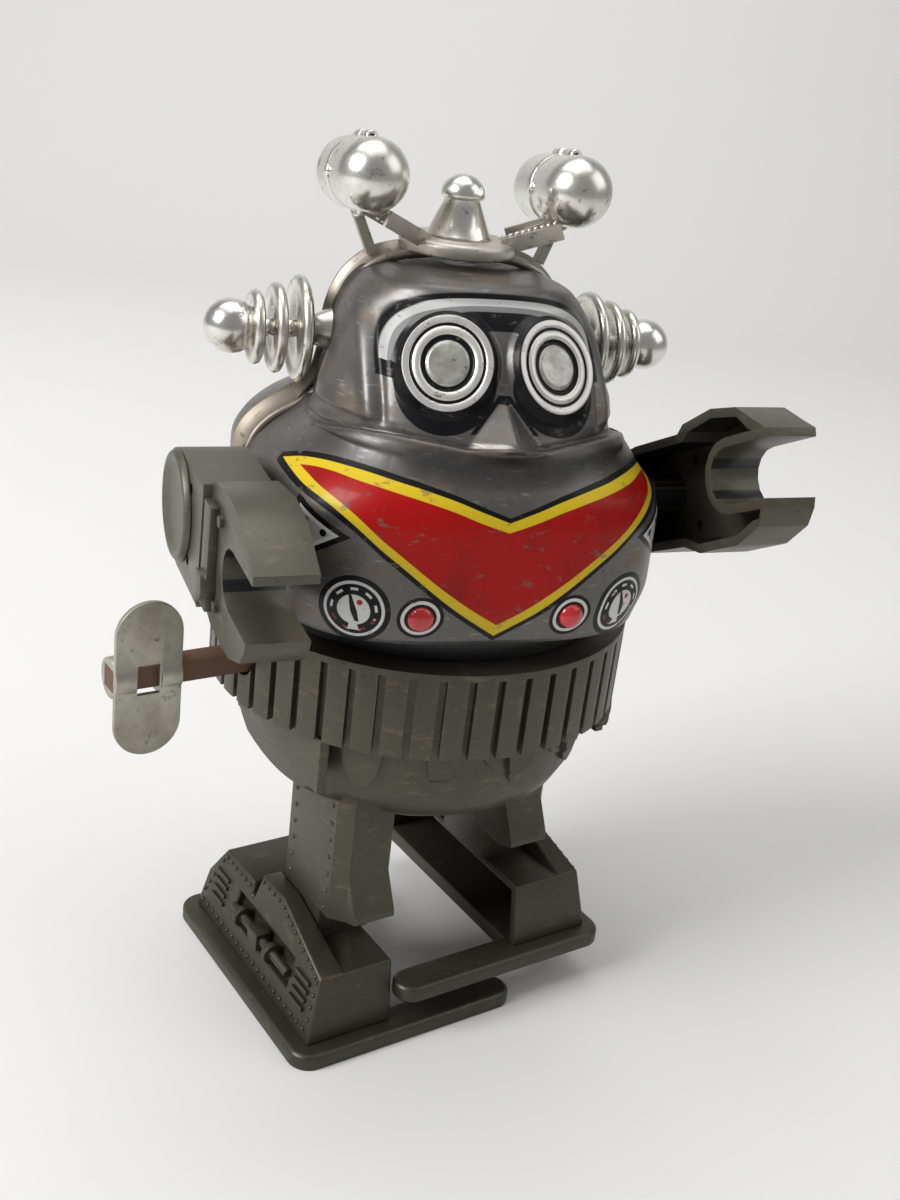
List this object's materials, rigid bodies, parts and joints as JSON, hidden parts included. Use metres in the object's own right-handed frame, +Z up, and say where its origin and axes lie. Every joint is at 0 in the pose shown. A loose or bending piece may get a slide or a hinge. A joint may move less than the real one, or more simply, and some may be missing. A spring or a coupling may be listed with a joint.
{
  "type": "wind-up walking toy robot",
  "caption": "Clockwork walking toy robot: round body on a ribbed waist ring, two x.",
  "frame": {"origin": "on the floor, straight below the waist axis, in the plane of the right sole", "axes": "+Z up, the feet face -Y, the robot's right side is -X"},
  "size_m": [0.0903, 0.0798, 0.1331],
  "materials": {
    "tin_print": "lithographed tinplate, gunmetal with printed colours, satin and scuffed",
    "grey_plastic": "metallic khaki-grey moulded plastic, satin",
    "black_plastic": "black moulded plastic, semi-gloss",
    "plated": "vacuum-plated plastic, worn and spotted",
    "steel": "plain pressed steel",
    "brass": "stamped brass",
    "rusty_steel": "brown rusted steel",
    "key_steel": "speckled tarnished plated steel"
  },
  "bodies": {
    "hips": {"pelvis_shell": "grey_plastic", "waist_ring": "grey_plastic", "motor_plate_right": "steel", "motor_plate_left": "steel", "motor_pillars": "steel", "pillar_nuts": "steel", "mainspring": "steel"},
    "crank": {"crank_shaft": "steel", "crank_pinion": "brass", "crank_wheel": "brass", "crank_disc_right": "steel", "crank_disc_left": "steel"},
    "right_leg": {"leg_right": "grey_plastic", "foot_housing_right": "grey_plastic", "foot_strut_right": "grey_plastic", "sole_right": "grey_plastic"},
    "left_leg": {"leg_left": "grey_plastic", "foot_housing_left": "grey_plastic", "foot_strut_left": "grey_plastic", "sole_left": "grey_plastic"},
    "key": {"key_shaft": "rusty_steel", "key_wing": "key_steel", "great_wheel": "brass"},
    "fly": {"fly_pinion": "brass", "governor_arbor": "steel", "governor_fan": "steel"},
    "right_arm": {"arm_right": "grey_plastic", "shoulder_disc_right": "grey_plastic", "forearm_strap_right": "grey_plastic", "claw_rivets_right": "grey_plastic"},
    "left_arm": {"arm_left": "grey_plastic", "shoulder_disc_left": "grey_plastic", "forearm_strap_left": "grey_plastic", "claw_rivets_left": "grey_plastic"},
    "upper_body": {"body_floor": "black_plastic", "collar_clip": "steel", "crown_cone": "plated", "crown_plate": "plated", "ear_left": "plated", "ear_right": "plated", "front_shell": "tin_print", "head_band": "plated", "pod_front_left": "plated", "pod_front_right": "plated", "pod_rear_left": "plated", "pod_rear_right": "plated", "pod_strut_front_left": "plated", "pod_strut_front_right": "plated", "pod_strut_rear_left": "plated", "pod_strut_rear_right": "plated", "rear_shell": "tin_print", "shoulder_axle": "steel", "waist_collar": "black_plastic"}
  },
  "joints": [
    {"name": "crank_turn", "type": "hinge", "parent": "hips", "child": "crank", "pos_m": [0, -0.008, 0.045], "axis": [1, 0, 0], "continuous": true},
    {"name": "right_leg_step", "type": "hinge", "parent": "crank", "child": "right_leg", "pos_m": [0, -0.008, 0.0416], "axis": [1, 0, 0], "continuous": true},
    {"name": "left_leg_step", "type": "hinge", "parent": "crank", "child": "left_leg", "pos_m": [0, -0.008, 0.0484], "axis": [1, 0, 0], "continuous": true},
    {"name": "key_turn", "type": "hinge", "parent": "hips", "child": "key", "pos_m": [0, -0.0032, 0.0605], "axis": [1, 0, 0], "continuous": true},
    {"name": "fly_spin", "type": "hinge", "parent": "hips", "child": "fly", "pos_m": [0, -0.0025, 0.045], "axis": [1, 0, 0], "continuous": true},
    {"name": "waist_swivel", "type": "hinge", "parent": "hips", "child": "upper_body", "pos_m": [0, 0, 0.0665], "axis": [0, 0, 1], "range_deg": [-2.7, 40.3]},
    {"name": "right_shoulder", "type": "hinge", "parent": "upper_body", "child": "right_arm", "pos_m": [-0.00264, -0.00965, 0.084], "axis": [-0.9806, 0.1959, 0], "range_deg": [-22, 63]},
    {"name": "left_shoulder", "type": "hinge", "parent": "upper_body", "child": "left_arm", "pos_m": [-0.00264, -0.00965, 0.084], "axis": [-0.9806, 0.1959, 0], "range_deg": [-76, 34]}
  ],
  "couplings": [
    {"joint": "right_leg_step", "follows": "crank_turn", "ratio": -1},
    {"joint": "left_leg_step", "follows": "crank_turn", "ratio": -1},
    {"joint": "key_turn", "follows": "crank_turn", "ratio": -0.2381},
    {"joint": "fly_spin", "follows": "crank_turn", "ratio": -1.75}
  ]
}
